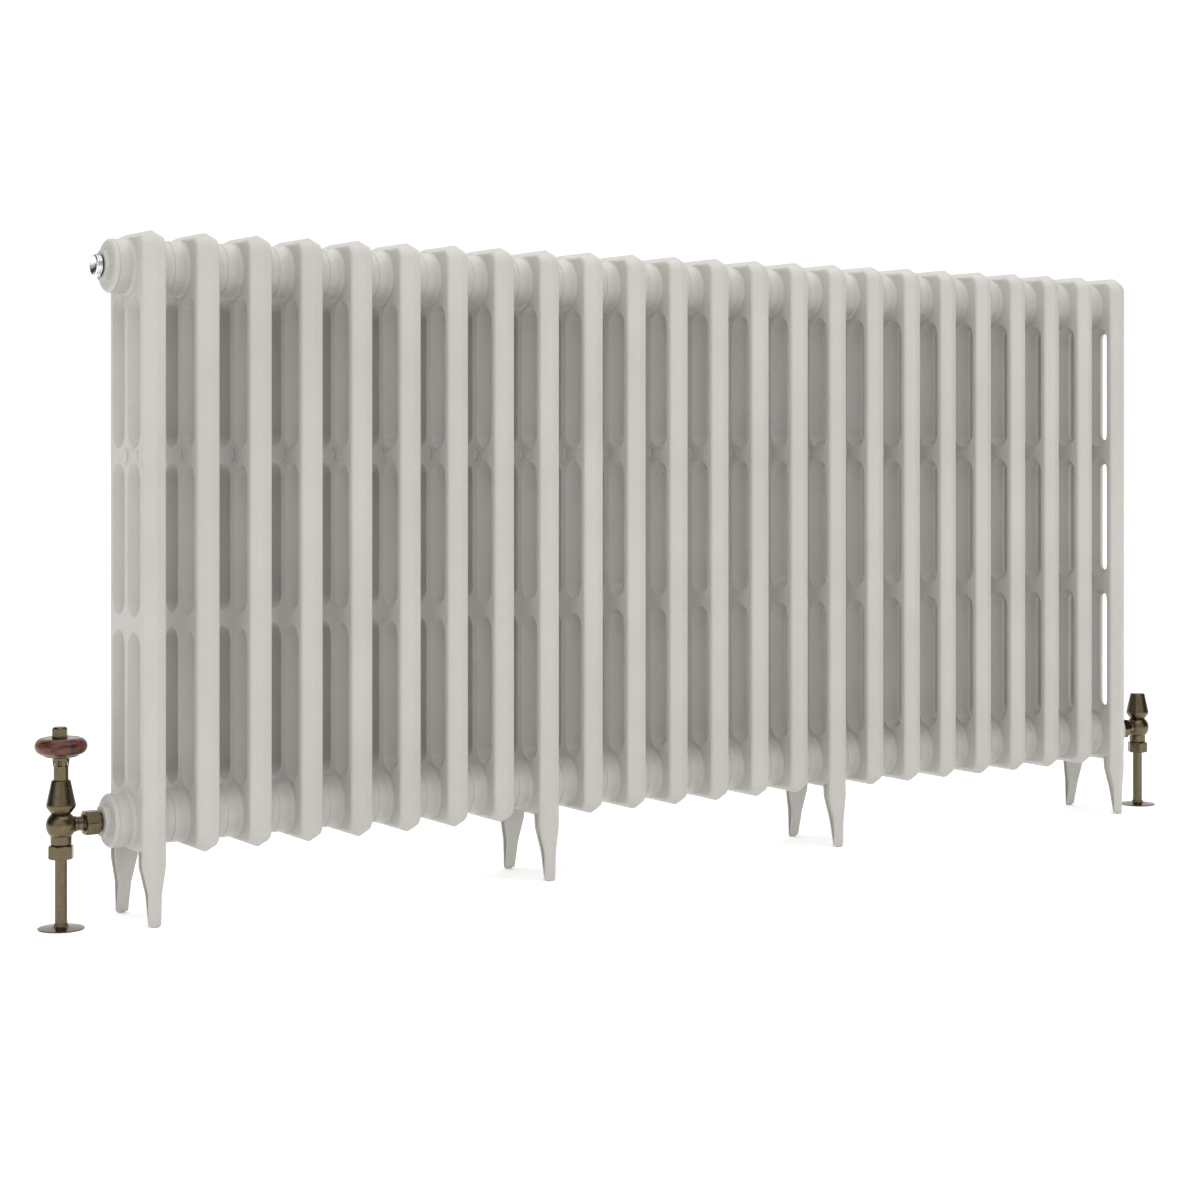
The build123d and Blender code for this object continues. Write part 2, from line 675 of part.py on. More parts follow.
def wheel_blank():
    """The wheel's outer form: nearly flat faces and a full round edge."""
    middle = (WHEEL_BASE + WHEEL_TOP) / 2
    flat = WHEEL_RADIUS - WHEEL_THICKNESS * 0.62
    edge = ThreePointArc((flat, WHEEL_BASE), (WHEEL_RADIUS, middle), (flat, WHEEL_TOP))
    rest = Polyline((flat, WHEEL_TOP), (0, WHEEL_TOP), (0, WHEEL_BASE), (flat, WHEEL_BASE))
    return revolve(Plane.XZ * make_face([edge, rest]), Axis.Z)


def inlay_slab():
    """The space of the strip let into the wheel's edge."""
    slab = Pos(WHEEL_RADIUS, 0, WHEEL_BASE) * Box(2 * INLAY_DEPTH, INLAY_WIDTH, 4 * WHEEL_THICKNESS)
    return Rot(0, 0, INLAY_ANGLE) * slab


def wheel():
    """The wooden wheel, slotted for its inlay."""
    return wheel_blank() - rod(WHEEL_HUB_RADIUS, WHEEL_BASE, WHEEL_TOP) - inlay_slab()


def inlay():
    """The black strip let flush into the wheel's edge, which shows the setting."""
    return wheel_blank() & inlay_slab()


def finial():
    """The hexagon cap nut that holds the wheel on its spindle."""
    corner = FINIAL_HEX / 2 / cos(radians(30))
    dome = turned(
        [(0, 0), (corner, 0), (corner, FINIAL_HEIGHT - 2), (corner - 2.5, FINIAL_HEIGHT), (0, FINIAL_HEIGHT)]
    )
    cap = Pos(0, 0, WHEEL_TOP) * (hexagon(FINIAL_HEX, FINIAL_HEIGHT) & dome)
    return cap - rod(WHEEL_HUB_RADIUS, WHEEL_TOP, WHEEL_TOP + FINIAL_HEIGHT / 2)


def lockshield_cap():
    """The closed cone that pushes down over the body's upper neck and lifts off."""
    outside = turned([(0, SKIRT_START)] + skirt_outline(1.0) + [(0, SKIRT_END)])
    neck_hole = rod(SKIRT_THREAD + SOCKET_CLEARANCE, SKIRT_START, UPPER_NECK_END + 5)
    return outside - neck_hole - rod(SKIRT_CAVITY, UPPER_NECK_END, SKIRT_END - 9)


def lockshield_spindle():
    """The regulating spindle: square end above the bonnet, thin tip down in the disc."""
    side = STEM_RADIUS * 1.4
    square = extrude(Pos(0, 0, BONNET_TOP) * Rectangle(side, side), STEM_TOP - BONNET_TOP)
    return rod(STEM_RADIUS, BONNET_BASE, BONNET_TOP) + rod(STEM_RADIUS - 0.5, 1.2, BONNET_BASE) + square


def lockshield_disc():
    """The disc, bored for the tip of the spindle that raises it."""
    return disc() - rod(STEM_RADIUS - 0.5 + RUNNING_CLEARANCE, -1.6, DISC_RADIUS)


def at_valve(shape, right):
    """Places a valve part on the left or the right valve, with its outlet towards the radiator."""
    if right:
        return Pos(LAST_X + VALVE_REACH, 0, LOWER_HUB) * Rot(0, 0, 180) * shape
    return Pos(FIRST_X - VALVE_REACH, 0, LOWER_HUB) * shape


# ---- writing the pieces out ----
def save_sections():
    castings = {False: section(False), True: section(True)}
    for number in range(1, SECTION_COUNT + 1):
        x = FIRST_X + (number - 1) * PITCH
        save(f"section_{number:02d}", Pos(x, 0, 0) * castings[number in FOOTED])


def save_hub_fittings():
    save("hub_nipples", group(at_joints(nipple())))
    bushes = {"upper_left": (False, UPPER_HUB), "lower_left": (False, LOWER_HUB), "lower_right": (True, LOWER_HUB)}
    for corner, (right, height) in bushes.items():
        save(f"{corner}_bush", at_hub(bush(), right, height))
    under_bushes = [at_hub(Rot(0, 90, 0) * sealing_ring(), *place) for place in bushes.values()]
    save("sealing_rings", group(at_joints(sealing_ring()) + under_bushes))
    save("blank_plug", at_hub(blank_plug(), True, UPPER_HUB))
    save("vent_seal", at_hub(vent_seal(), False, UPPER_HUB))
    save("vent_plug", at_hub(vent_plug(), False, UPPER_HUB))
    save("vent_screw", at_hub(vent_screw(), False, UPPER_HUB))


def save_valves():
    for side, valve in ((False, "thermostatic"), (True, "lockshield")):
        save(f"{valve}_body", at_valve(valve_body(), side))
        save(f"{valve}_tail", at_valve(union_tail(), side))
        save(f"{valve}_bonnet", at_valve(bonnet(), side))
        save(f"{valve}_pipe", at_valve(pipe(), side))
        save(f"{valve}_rosette", at_valve(rosette(), side))
    pairs = {"union_nuts": union_nut(), "compression_nuts": compression_nut(), "olives": olive()}
    for name, shape in pairs.items():
        save(name, group(at_valve(shape, side) for side in (False, True)))
    for name, shape in (
        ("thermostatic_pin", valve_pin()),
        ("thermostatic_skirt", skirt()),
        ("thermostatic_neck", neck()),
        ("thermostatic_sensor", sensor()),
        ("wheel_spindle", spindle()),
        ("wheel_plate", plate()),
        ("wheel", wheel()),
        ("wheel_inlay", inlay()),
        ("wheel_finial", finial()),
    ):
        save(name, at_valve(shape, False))
    save("lockshield_cap", at_valve(lockshield_cap(), True))
    save("lockshield_spindle", at_valve(lockshield_spindle(), True))
    save("lockshield_disc", at_valve(lockshield_disc(), True))


save_sections()
save_hub_fittings()
save_valves()
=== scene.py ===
# %% [markdown]
# # A cast iron column radiator in soft studio light
#
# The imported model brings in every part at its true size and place, in metres. This script leaves
# those parts where they are. It turns new, softer-edged pieces for the valves, the plugs and the
# wheel, gives every piece a finish, and sets up the floor, the lights and the camera.

import json
from math import pi, radians

import bpy
import numpy as np
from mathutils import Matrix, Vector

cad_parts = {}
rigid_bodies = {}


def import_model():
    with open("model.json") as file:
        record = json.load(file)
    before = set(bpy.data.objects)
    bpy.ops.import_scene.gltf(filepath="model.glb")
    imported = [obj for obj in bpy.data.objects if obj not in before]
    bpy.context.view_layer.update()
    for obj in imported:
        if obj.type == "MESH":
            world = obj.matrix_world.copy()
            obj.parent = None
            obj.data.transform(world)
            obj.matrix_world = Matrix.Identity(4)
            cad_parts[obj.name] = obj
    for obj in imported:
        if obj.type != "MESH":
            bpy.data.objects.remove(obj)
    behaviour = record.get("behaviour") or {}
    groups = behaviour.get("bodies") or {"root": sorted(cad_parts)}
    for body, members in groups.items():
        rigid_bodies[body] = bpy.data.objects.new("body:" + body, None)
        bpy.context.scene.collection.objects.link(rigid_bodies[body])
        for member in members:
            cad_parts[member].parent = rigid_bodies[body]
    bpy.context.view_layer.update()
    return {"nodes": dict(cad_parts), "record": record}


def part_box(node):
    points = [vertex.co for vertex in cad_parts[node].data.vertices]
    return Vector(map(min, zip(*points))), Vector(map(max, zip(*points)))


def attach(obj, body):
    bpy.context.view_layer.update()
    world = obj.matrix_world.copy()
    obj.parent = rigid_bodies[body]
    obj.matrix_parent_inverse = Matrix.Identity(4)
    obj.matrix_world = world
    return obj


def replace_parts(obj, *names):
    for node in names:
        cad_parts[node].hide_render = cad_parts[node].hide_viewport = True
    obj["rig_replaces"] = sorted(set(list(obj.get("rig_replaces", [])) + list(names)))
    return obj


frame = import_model()
print("parts in the frame:", len(frame["nodes"]))

# %% [markdown]
# ## Shader arithmetic
#
# A finish is a small sum over the surface: a noise, scaled and added to another. A `Field` holds
# one such value, and the usual signs on it add the matching Math node to the material.


# %% A value that varies over a surface
class Field:
    """A socket that can be added, subtracted, multiplied and divided like a number."""

    def __init__(self, tree, socket):
        self.tree = tree
        self.socket = socket

    def math(self, operation, first, second):
        """One Math node: first (operation) second."""
        node = self.tree.nodes.new("ShaderNodeMath")
        node.operation = operation
        feed(self.tree, node.inputs[0], first)
        feed(self.tree, node.inputs[1], second)
        return Field(self.tree, node.outputs[0])

    def __add__(self, other):
        return self.math("ADD", self, other)

    def __radd__(self, other):
        return self.math("ADD", other, self)

    def __sub__(self, other):
        return self.math("SUBTRACT", self, other)

    def __rsub__(self, other):
        return self.math("SUBTRACT", other, self)

    def __mul__(self, other):
        return self.math("MULTIPLY", self, other)

    def __rmul__(self, other):
        return self.math("MULTIPLY", other, self)

    def __truediv__(self, other):
        return self.math("DIVIDE", self, other)

    def __rtruediv__(self, other):
        return self.math("DIVIDE", other, self)


def feed(tree, socket, value):
    """Links a field to a socket, or sets a plain number or colour on it."""
    if isinstance(value, Field):
        tree.links.new(value.socket, socket)
    elif isinstance(value, tuple) and len(socket.default_value) == 4 and len(value) == 3:
        socket.default_value = (*value, 1.0)
    else:
        socket.default_value = value


# %% [markdown]
# ## A material under construction
#
# `Finish` starts from a Principled surface and the object's own coordinates, so that a pattern
# stays fixed to the part and its scale is in metres. Noise runs from about 0.3 to 0.7, and
# `between` stretches the part of it that is wanted to run from 0 to 1.


# %% Finishes
class Finish:
    """A Principled material whose varying inputs are fed by fields."""

    def __init__(self, name, **constants):
        self.material = bpy.data.materials.new(name)
        self.material.use_nodes = True
        self.tree = self.material.node_tree
        self.surface = self.tree.nodes["Principled BSDF"]
        for socket, value in constants.items():
            feed(self.tree, self.surface.inputs[socket.replace("_", " ")], value)
        self.place = self.node("ShaderNodeTexCoord", {}, "Object")

    def node(self, kind, inputs, output, **settings):
        """Adds a node, feeds its inputs by name or number, and returns one output as a field."""
        node = self.tree.nodes.new(kind)
        for setting, value in settings.items():
            setattr(node, setting, value)
        for socket, value in inputs.items():
            feed(self.tree, node.inputs[socket], value)
        return Field(self.tree, node.outputs[output])

    def stretched(self, factors):
        """The place, multiplied by a factor along each axis: a factor below 1 draws a grain out."""
        return self.node("ShaderNodeVectorMath", {0: self.place, 1: factors}, 0, operation="MULTIPLY")

    def noise(self, scale, detail=3.0, distortion=0.0, place=None):
        """Smooth noise with this many lumps to the metre."""
        shape = {"Scale": scale, "Detail": detail, "Distortion": distortion}
        return self.node("ShaderNodeTexNoise", {"Vector": place or self.place, **shape}, "Fac")

    def between(self, field, low, high):
        """0 at low and below, 1 at high and above, with an even slope between them."""
        inputs = {"Value": field, "From Min": low, "From Max": high}
        return self.node("ShaderNodeMapRange", inputs, 0)

    def mix(self, share, first, second):
        """The first colour where share is 0, the second where it is 1."""
        return self.node("ShaderNodeMix", {0: share, 6: first, 7: second}, 2, data_type="RGBA")

    def done(self, height=None, distance=0.0, **fields):
        """Feeds the surface, and dents it by height (0 to 1) times distance in metres."""
        for socket, value in fields.items():
            feed(self.tree, self.surface.inputs[socket.replace("_", " ")], value)
        if height is not None:
            inputs = {"Strength": 1.0, "Distance": distance, "Height": height}
            feed(self.tree, self.surface.inputs["Normal"], self.node("ShaderNodeBump", inputs, 0))
        return self.material


def painted_iron():
    """Satin stone-grey paint: the sand-cast grain shows through it, fine and shallow."""
    finish = Finish("painted_iron", Specular_IOR_Level=0.4)
    cloud = finish.noise(9.0)
    grain = finish.noise(520.0, detail=5.0)
    speck = finish.between(finish.noise(1400.0, detail=2.0), 0.30, 0.70)
    wave = finish.noise(60.0, detail=2.0)
    tone = finish.between(cloud * 0.5 + grain * 0.3 + speck * 0.2, 0.30, 0.70)
    colour = finish.mix(tone, (0.385, 0.374, 0.346), (0.455, 0.443, 0.412))
    return finish.done(
        Base_Color=colour,
        Roughness=0.40 + 0.16 * grain,
        height=0.45 * grain + 0.40 * speck + 0.15 * wave,
        distance=0.00035,
    )


def antique_brass():
    """Darkened brass: a golden metal under a brown film, slightly uneven in tone and in gloss."""
    finish = Finish("antique_brass", Metallic=1.0)
    film = finish.between(finish.noise(240.0, detail=5.0, distortion=0.3), 0.30, 0.70)
    fine = finish.noise(1500.0, detail=3.0)
    colour = finish.mix(film, (0.116, 0.094, 0.057), (0.140, 0.113, 0.068))
    return finish.done(
        Base_Color=colour,
        Roughness=0.20 + 0.06 * film + 0.08 * fine,
        height=fine,
        distance=0.00001,
    )


def bare_metal(name, dark, light, roughness):
    """Machined metal with fine tool marks."""
    finish = Finish(name, Metallic=1.0)
    fine = finish.noise(1200.0, detail=4.0)
    colour = finish.mix(finish.between(finish.noise(150.0), 0.3, 0.7), dark, light)
    rough = roughness + 0.12 * fine
    return finish.done(Base_Color=colour, Roughness=rough, height=fine, distance=0.00002)


def plain(name, dark, light, roughness, grain):
    """A dull, non-metal surface with a little tone and grain."""
    finish = Finish(name)
    fine = finish.noise(grain, detail=4.0)
    colour = finish.mix(finish.between(fine, 0.3, 0.7), dark, light)
    rough = roughness + 0.1 * fine
    return finish.done(Base_Color=colour, Roughness=rough, height=fine, distance=0.00004)


def lacquered_wood():
    """Red-brown wood under clear lacquer, with dark streaks drawn out along X and bent."""
    finish = Finish("lacquered_wood", Coat_Roughness=0.03, Specular_IOR_Level=0.2)
    slow = finish.noise(45.0, detail=2.0)
    drawn = finish.stretched((0.35, 1.0, 1.6))
    figure = finish.noise(95.0, detail=4.0, distortion=1.6, place=drawn)
    pores = finish.noise(900.0, detail=3.0, place=finish.stretched((0.12, 1.0, 1.0)))
    streak = finish.between(figure * 0.75 + slow * 0.25, 0.42, 0.60)
    warm = finish.mix(streak, (0.022, 0.006, 0.003), (0.115, 0.026, 0.010))
    colour = finish.mix(finish.between(pores, 0.60, 0.75), warm, (0.040, 0.010, 0.005))
    return finish.done(
        Base_Color=colour,
        Roughness=0.30 + 0.15 * pores,
        Coat_Weight=0.40 + 0.1 * slow,
        height=pores,
        distance=0.00002,
    )


def black_wood():
    """The inlaid strip: nearly black, with the same lacquer."""
    finish = Finish("black_wood", Coat_Roughness=0.03, Specular_IOR_Level=0.2)
    pores = finish.noise(900.0, detail=3.0, place=finish.stretched((0.12, 1.0, 1.0)))
    colour = finish.mix(pores, (0.008, 0.007, 0.006), (0.020, 0.016, 0.013))
    return finish.done(
        Base_Color=colour,
        Roughness=0.25 + 0.15 * pores,
        Coat_Weight=0.4 + 0.1 * pores,
        height=pores,
        distance=0.00002,
    )


painted = painted_iron()
finishes = {
    "painted_iron": painted,
    "painted_fitting": painted,
    "antique_brass": antique_brass(),
    "lacquered_wood": lacquered_wood(),
    "black_wood": black_wood(),
    "chrome_plate": bare_metal("chrome_plate", (0.62, 0.63, 0.65), (0.72, 0.73, 0.75), 0.04),
    "bare_brass": bare_metal("bare_brass", (0.55, 0.40, 0.19), (0.70, 0.54, 0.28), 0.22),
    "bare_iron": bare_metal("bare_iron", (0.14, 0.13, 0.12), (0.24, 0.23, 0.22), 0.45),
    "fibre": plain("fibre", (0.40, 0.39, 0.37), (0.55, 0.54, 0.51), 0.6, 700.0),
    "black_rubber": plain("black_rubber", (0.012, 0.012, 0.012), (0.030, 0.030, 0.030), 0.5, 900.0),
}
node_slot = {part["node"]: part["material_slot"] for part in frame["record"]["subparts"]}
for name, node in frame["nodes"].items():
    node.data.materials.clear()
    node.data.materials.append(finishes[node_slot[name]])
print("finishes:", len(finishes), "on", len(node_slot), "parts")

# %% [markdown]
# ## Turned pieces
#
# Most fittings are turned on a lathe, so each is a half outline of radius and height swept round
# an axis. Corners are first softened: each is replaced by a short curve that starts and ends a
# little way along its two edges. A hexagon is the same sweep with the radius capped by the
# distance to the nearest flat.


# %% Outlines and sweeps
LARGEST_CUT = 0.45  # share of an edge that a softened corner may take
EASING = 90  # power of the mean that rounds a hexagon's corners: higher is sharper
BAR_SHARE = 0.995  # radius of the round bar, as a share of the hexagon's corner radius


def softened(outline, radius, steps=5):
    """Replaces each corner by the curve (1-t)^2 A + 2t(1-t) P + t^2 B.

    P is the corner. A and B lie on its two edges, a radius away or just under half an edge away,
    whichever is less. A point on the axis stays as it is.
    """
    points = np.array(outline, float)
    result = []
    neighbours = zip(np.roll(points, 1, axis=0), points, np.roll(points, -1, axis=0))
    for before, corner, after in neighbours:
        if corner[0] == 0:
            result.append(corner)
            continue
        to_before = before - corner
        to_after = after - corner
        length_before = np.linalg.norm(to_before)
        length_after = np.linalg.norm(to_after)
        cut = min(radius, LARGEST_CUT * length_before, LARGEST_CUT * length_after)
        start = corner + to_before / length_before * cut
        end = corner + to_after / length_after * cut
        for t in np.linspace(0, 1, steps):
            result.append((1 - t) ** 2 * start + 2 * t * (1 - t) * corner + t**2 * end)
    return divided(np.array(result))


def divided(outline, longest=1.5):
    """Adds evenly spaced points so that no step along the outline is longer than this, in mm."""
    result = []
    for start, end in zip(outline, np.roll(outline, -1, axis=0)):
        pieces = max(1, int(np.ceil(np.linalg.norm(end - start) / longest)))
        on_axis = start[0] == 0 and end[0] == 0
        result.append(start)
        if not on_axis:
            result += [start + (end - start) * step / pieces for step in range(1, pieces)]
    return np.array(result)


def corner_radius(across):
    """Half the width across corners: half the width across flats over cos 30 degrees."""
    return across / 2 / np.cos(pi / 6)


def hexagon_radius(turn, across):
    """Distance from the axis to a hexagon's side at each angle, with a corner at angle 0.

    It is half the width across flats over the cosine of the angle from the nearest flat's middle.
    The corners are eased by a power mean with the round bar that the hexagon is cut from.
    """
    side = across / 2 / np.cos(np.mod(turn, pi / 3) - pi / 6)
    bar = corner_radius(across) * BAR_SHARE
    return (side**-EASING + bar**-EASING) ** (-1 / EASING)


def swept(outline, around=96, across=None, above=-1.0):
    """Points and faces of a closed outline swept about Z.

    Point (i, j) is at the outline's radius r_i, turned by 2 pi j / around, at its height z_i.
    Above a given height the radius is capped by a hexagon. An outline that starts and ends on the
    axis closes there with one point at each end. Any other is a ring, and closes on itself.
    """
    capped = outline[0, 0] == 0
    body = outline[1:-1] if capped else outline
    turn = np.linspace(0, 2 * pi, around, endpoint=False)
    radius = np.repeat(body[:, :1], around, axis=1)
    if across:
        limit = np.minimum(radius, hexagon_radius(turn, across))
        radius = np.where(body[:, 1:] > above, limit, radius)
    height = np.repeat(body[:, 1:], around, axis=1)
    points = np.stack([radius * np.cos(turn), radius * np.sin(turn), height], axis=2)
    points = points.reshape(-1, 3)
    index = np.arange(len(points)).reshape(len(body), around)
    beside = np.roll(index, -1, axis=1)
    next_row = [np.roll(beside, -1, axis=0), np.roll(index, -1, axis=0)]
    walls = np.stack([index, beside, *next_row], axis=2)
    if not capped:
        return points, walls.reshape(-1, 4).tolist()
    low = np.full(around, len(points))
    high = low + 1
    ends = np.stack([low, beside[0], index[0]], axis=1).tolist()
    ends += np.stack([high, index[-1], beside[-1]], axis=1).tolist()
    poles = [[0, 0, outline[0, 1]], [0, 0, outline[-1, 1]]]
    return np.vstack([points, poles]), walls[:-1].reshape(-1, 4).tolist() + ends


def enclosed(points, faces):
    """Volume inside a closed surface: a sixth of the sum of a . (b x c) over its triangles."""
    total = 0.0
    for size in (3, 4):
        chosen = np.array([face for face in faces if len(face) == size], int).reshape(-1, size)
        for second in range(1, size - 1):
            a, b, c = (points[chosen[:, corner]] for corner in (0, second, second + 1))
            total += np.einsum("ij,ij->", a, np.cross(b, c)) / 6
    return total


def piece(name, shape, place, body, stands_for):
    """Makes a mesh object, outward side out, that rides on a body and stands for CAD parts.

    The shape comes in millimetres and is placed in metres.
    """
    points, faces = shape
    points = place(points / 1000)
    if enclosed(points, faces) < 0:
        faces = [face[::-1] for face in faces]
    mesh = bpy.data.meshes.new(name)
    mesh.from_pydata(points.tolist(), [], faces)
    mesh.polygons.foreach_set("use_smooth", np.ones(len(faces), bool))
    mesh.update()
    made = bpy.data.objects.new(name, mesh)
    bpy.context.scene.collection.objects.link(made)
    slot = node_slot[stands_for[0]]
    mesh.materials.append(finishes[slot])
    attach(made, body)
    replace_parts(made, *stands_for)


# %% [markdown]
# ## Fittings
#
# A piece goes where its part is: the part's box gives the axis and the end that the outline's
# heights start from. Outlines are in millimetres.


# %% Placing a turned piece
def upright(node, middle_x=None):
    """Stands a piece on the bottom of a part's box.

    Where no middle is given, it is half the box's depth in from the left side of the box, as for
    any round part.
    """
    low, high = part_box(node)
    if middle_x is None:
        middle_x = low.x + (high.y - low.y) / 2
    return lambda points: points + np.array([middle_x, (low.y + high.y) / 2, low.z])


def lying(start_x, towards, height):
    """Lays a piece along X at a height: it runs from start_x to the right (1) or the left (-1)."""

    def place(points):
        x = start_x + towards * points[:, 2]
        return np.stack([x, points[:, 0], points[:, 1] + height], axis=1)

    return place


pipes = [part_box("thermostatic_pipe"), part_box("lockshield_pipe")]
valve_x = [(low.x + high.x) / 2 for low, high in pipes]
ROOT = "radiator"

# How far a corner is softened, in mm.
VENT_CORNER = 0.25
PLATE_CORNER = 0.4
NUT_CORNER = 0.5
CONE_CORNER = 0.7
CASTING_CORNER = 0.9

# Widths across flats, in mm.
FINIAL_ACROSS = 14.8
NUT_ACROSS = 24.0
BUSH_ACROSS = 31.0

# %% Cones, plate and cap nut
skirt = [
    (9.25, 0),
    (10.6, 0),
    (15.2, 6.4),
    (15.2, 8.6),
    (9.9, 33.4),
    (9.2, 34.1),
    (7.65, 34.1),
    (7.65, 21.4),
    (8.4, 21.4),
    (8.4, 7.4),
    (9.25, 7.4),
]
node = "thermostatic_skirt"
piece("skirt_turned", swept(softened(skirt, CONE_CORNER)), upright(node), ROOT, [node])
cap = [
    (0, 25.1),
    (8.4, 25.1),
    (8.4, 12.4),
    (9.3, 12.4),
    (9.3, 0),
    (10.6, 0),
    (15.2, 6.4),
    (15.2, 8.6),
    (9.9, 33.0),
    (8.9, 34.1),
    (0, 34.1),
]
node = "lockshield_cap"
piece("cap_turned", swept(softened(cap, CONE_CORNER)), upright(node), "cap", [node])
plate = [(4.0, 0), (15.5, 0), (18.5, 1.4), (18.5, 2.6), (4.0, 2.6)]
node = "wheel_plate"
piece("plate_turned", swept(softened(plate, PLATE_CORNER)), upright(node), "wheel_head", [node])
finial = [(0, 5.65), (4.0, 5.65), (4.0, 0), (8.55, 0), (8.55, 8.9), (6.3, 11.3), (0, 11.3)]
shape = swept(softened(finial, CASTING_CORNER), across=FINIAL_ACROSS)
# This hexagon's box is wider than deep, so the piece stands 1.15 mm left of the wheel's axis.
piece("finial_hexagon", shape, upright("wheel_finial"), "wheel_head", ["wheel_finial"])

# %% Nuts and floor plates
FLAT = NUT_ACROSS / 2
CORNER = corner_radius(NUT_ACROSS)
BEVEL = 1.1  # height of the bevel at each end of a nut


def nut(height, lower_bore, step, upper_bore):
    """A nut's outline: a bevelled outside, and a bore that changes radius at one step."""
    outside = [(FLAT, 0), (CORNER, BEVEL), (CORNER, height - BEVEL), (FLAT, height)]
    inside = [(upper_bore, height), (upper_bore, step), (lower_bore, step)]
    return softened([(lower_bore, 0), *outside, *inside], NUT_CORNER)


union = nut(15.0, 9.65, 11.6, 7.6)
lower = nut(13.8, 6.45, 2.6, 9.65)
rosette = [(6.45, 0), (24.0, 0), (24.0, 1.0), (9.45, 2.6), (7.45, 3.6), (7.45, 5.5), (6.45, 5.5)]
rosette = softened(rosette, NUT_CORNER)
nut_low, nut_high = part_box("union_nuts")
lower_hub = (nut_low.z + nut_high.z) / 2
ends = (
    ("left", "thermostatic", nut_low.x, 1, valve_x[0]),
    ("right", "lockshield", nut_high.x, -1, valve_x[1]),
)
for side, valve, nut_x, towards, middle_x in ends:
    shape = swept(union, across=NUT_ACROSS)
    piece(f"{side}_union_nut", shape, lying(nut_x, towards, lower_hub), ROOT, ["union_nuts"])
    shape = swept(lower, across=NUT_ACROSS)
    place = upright("compression_nuts", middle_x)
    piece(f"{side}_lower_nut", shape, place, ROOT, ["compression_nuts"])
    node = f"{valve}_rosette"
    piece(f"{side}_floor_plate", swept(rosette), upright(node), f"{side}_rosette", [node])

# %% Bushes and the vent
bush = [
    (8.7, 0),
    (20.35, 0),
    (20.35, 16.3),
    (28.4, 16.3),
    (28.4, 18.4),
    (25.8, 21.0),
    (17.9, 21.0),
    (17.9, 26.2),
    (16.4, 27.2),
    (8.7, 27.2),
]
bush = softened(bush, CASTING_CORNER)
FLANGE_TOP = 21.05  # the bush is round up to here, and a hexagon beyond
for corner, towards in (("upper_left", -1), ("lower_left", -1), ("lower_right", 1)):
    node = f"{corner}_bush"
    low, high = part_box(node)
    start = high.x if towards < 0 else low.x
    shape = swept(bush, around=120, across=BUSH_ACROSS, above=FLANGE_TOP)
    place = lying(start, towards, (low.z + high.z) / 2)
    piece(f"{corner}_bush_turned", shape, place, ROOT, [node])
vent = [
    (2.05, 0),
    (8.65, 0),
    (8.65, 14.0),
    (11.85, 14.0),
    (11.85, 15.0),
    (10.95, 15.5),
    (11.85, 16.0),
    (11.85, 17.0),
    (10.95, 17.5),
    (11.55, 18.0),
    (11.55, 19.0),
    (10.55, 20.0),
    (9.65, 20.0),
    (4.5, 16.0),
    (2.05, 16.0),
]
low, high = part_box("vent_plug")
upper_hub = (low.z + high.z) / 2
shape = swept(softened(vent, VENT_CORNER))
piece("vent_turned", shape, lying(high.x, -1, upper_hub), ROOT, ["vent_plug"])
seal = [(8.7, 0), (11.65, 0), (11.65, 2.0), (8.7, 2.0)]
low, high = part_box("vent_seal")
shape = swept(softened(seal, CASTING_CORNER))
piece("seal_ring", shape, lying(high.x, -1, upper_hub), ROOT, ["vent_seal"])
turned = [thing for thing in bpy.data.objects if "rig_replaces" in thing]
print("turned pieces:", len(turned), "faces:", sum(len(thing.data.polygons) for thing in turned))

# %% [markdown]
# ## Floor, lights and camera
#
# The room is a bright, even white, but not in what glossy surfaces mirror: there it is bright
# behind the object and behind the camera, and dark at both sides, which darkens the flanks of
# the round fittings a little. A wide soft light overhead and a weaker one from the left front
# make the facets of each column read.

# %% The room
ROOM_STRENGTH = 1.06
TOWARDS_CAMERA = (-0.541, -0.841, 0.0)
# Mirrored brightness by direction, from 0 straight behind the object to 1 behind the camera.
BEHIND_OBJECT = 1.0
BEHIND_CAMERA = 0.55
BANDS = {0.22: 0.75, 0.34: 0.06, 0.66: 0.05, 0.80: 0.50, 0.90: 1.0}


def set_grey(stop, brightness):
    """Gives a stop of the ramp a grey of this brightness."""
    stop.color = (brightness, brightness, brightness, 1.0)


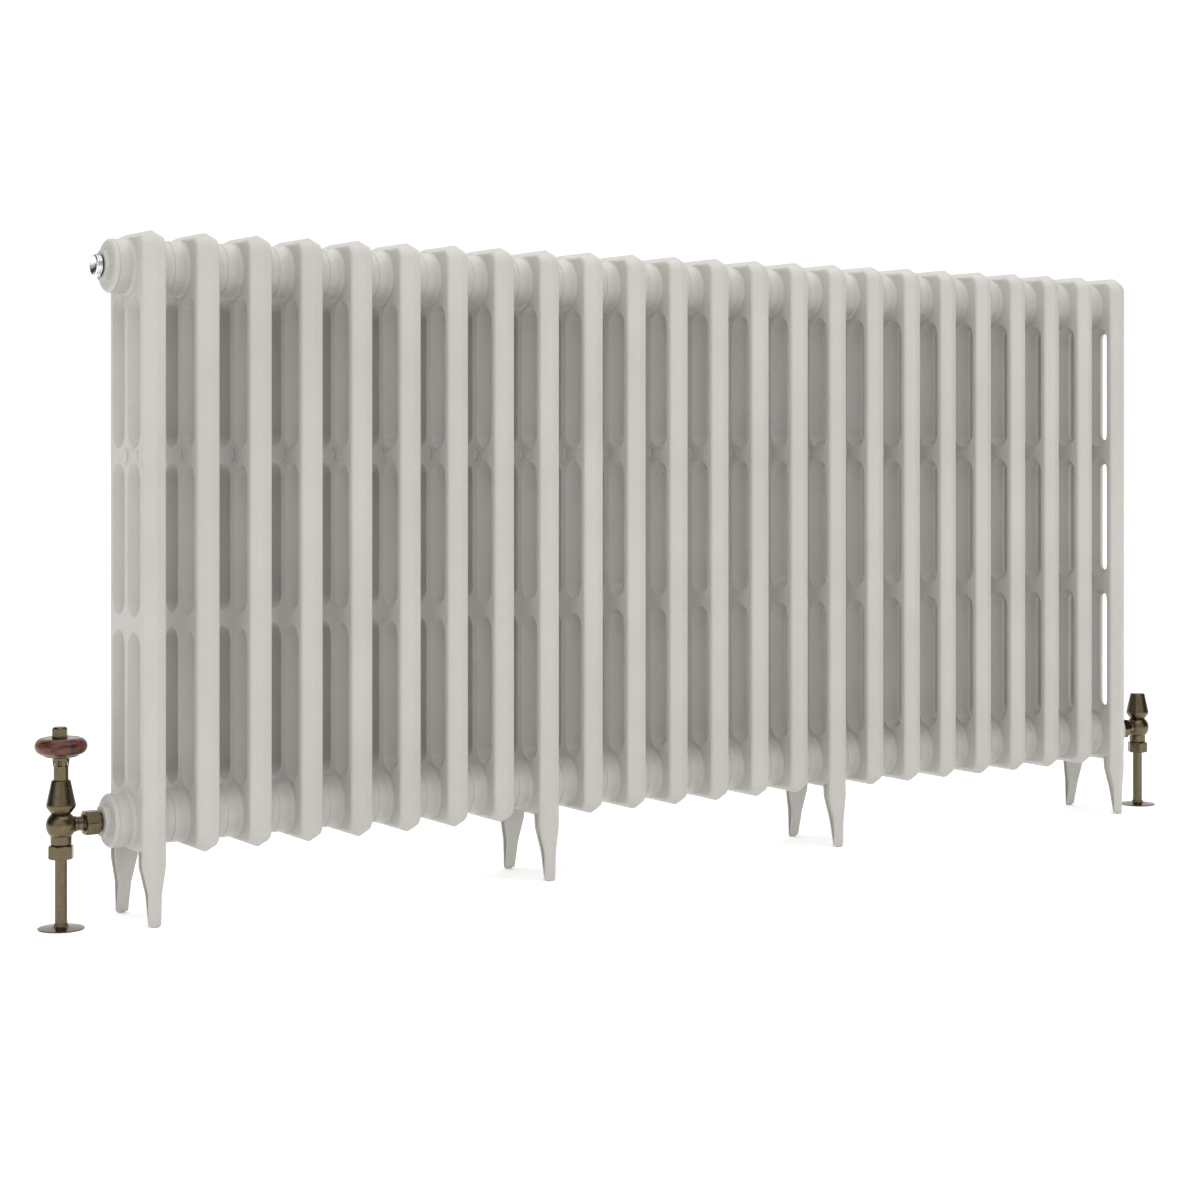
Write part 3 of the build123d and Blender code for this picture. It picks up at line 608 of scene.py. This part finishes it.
scene = bpy.context.scene
scene.view_settings.view_transform = "Standard"
world = bpy.data.worlds.new("studio")
scene.world = world
world.use_nodes = True
room = world.node_tree
background = room.nodes["Background"]
feed(room, background.inputs["Color"], (1.0, 1.0, 1.0))
ray = room.nodes.new("ShaderNodeLightPath")
is_reflection = Field(room, ray.outputs["Is Glossy Ray"])
direction = room.nodes.new("ShaderNodeTexCoord")
facing = room.nodes.new("ShaderNodeVectorMath")
facing.operation = "DOT_PRODUCT"
room.links.new(direction.outputs["Generated"], facing.inputs[0])
facing.inputs[1].default_value = TOWARDS_CAMERA
ramp = room.nodes.new("ShaderNodeValToRGB")
stops = ramp.color_ramp.elements
set_grey(stops[0], BEHIND_OBJECT)
set_grey(stops[1], BEHIND_CAMERA)
for position, brightness in BANDS.items():
    set_grey(stops.new(position), brightness)
feed(room, ramp.inputs["Fac"], 0.5 + 0.5 * Field(room, facing.outputs["Value"]))
mirrored = Field(room, ramp.outputs["Color"])
strength = ROOM_STRENGTH * (1.0 - is_reflection * (1.0 - mirrored))
feed(room, background.inputs["Strength"], strength)

# %% The floor
REACH = 60.0  # metres from the middle to each side
floor_mesh = bpy.data.meshes.new("floor")
signs = ((-1, -1), (1, -1), (1, 1), (-1, 1))
floor_mesh.from_pydata([(x * REACH, y * REACH, 0.0) for x, y in signs], [], [(0, 1, 2, 3)])
floor = bpy.data.objects.new("floor", floor_mesh)
scene.collection.objects.link(floor)
matt = {"Roughness": 0.9, "Specular_IOR_Level": 0.1}
glow = {"Emission_Color": (1.0, 1.0, 1.0), "Emission_Strength": 0.16}
finish = Finish("studio_floor", **matt, **glow)
tone = finish.noise(0.8)
colour = finish.mix(tone, 3 * (0.93,), 3 * (0.95,))
floor_mesh.materials.append(finish.done(Base_Color=colour, height=tone, distance=0.0001))


# %% Lights
def soft_light(name, location, turned, size, watts):
    """A square area light: place and side in metres, turn in degrees, power in watts."""
    light = bpy.data.lights.new(name, "AREA")
    light.size = size
    light.energy = watts
    made = bpy.data.objects.new(name, light)
    made.location = location
    made.rotation_euler = [radians(angle) for angle in turned]
    scene.collection.objects.link(made)


soft_light("overhead", (0.0, -0.6, 3.2), (0.0, 0.0, 0.0), 4.0, 85.0)
soft_light("left_front", (-3.0, -2.2, 1.8), (68.0, 0.0, -58.0), 2.5, 8.0)

# %% Camera
lens = bpy.data.cameras.new("camera")
lens.sensor_width = 36.0
lens.lens = 70.953
lens.shift_y = -0.1329
camera = bpy.data.objects.new("camera", lens)
camera.location = (-1.6265, -2.35375, 0.504)
camera.rotation_euler = (radians(90.0), 0.0, radians(-32.78))
scene.collection.objects.link(camera)
scene.camera = camera
print("lights:", len(bpy.data.lights), "camera lens in mm:", lens.lens)
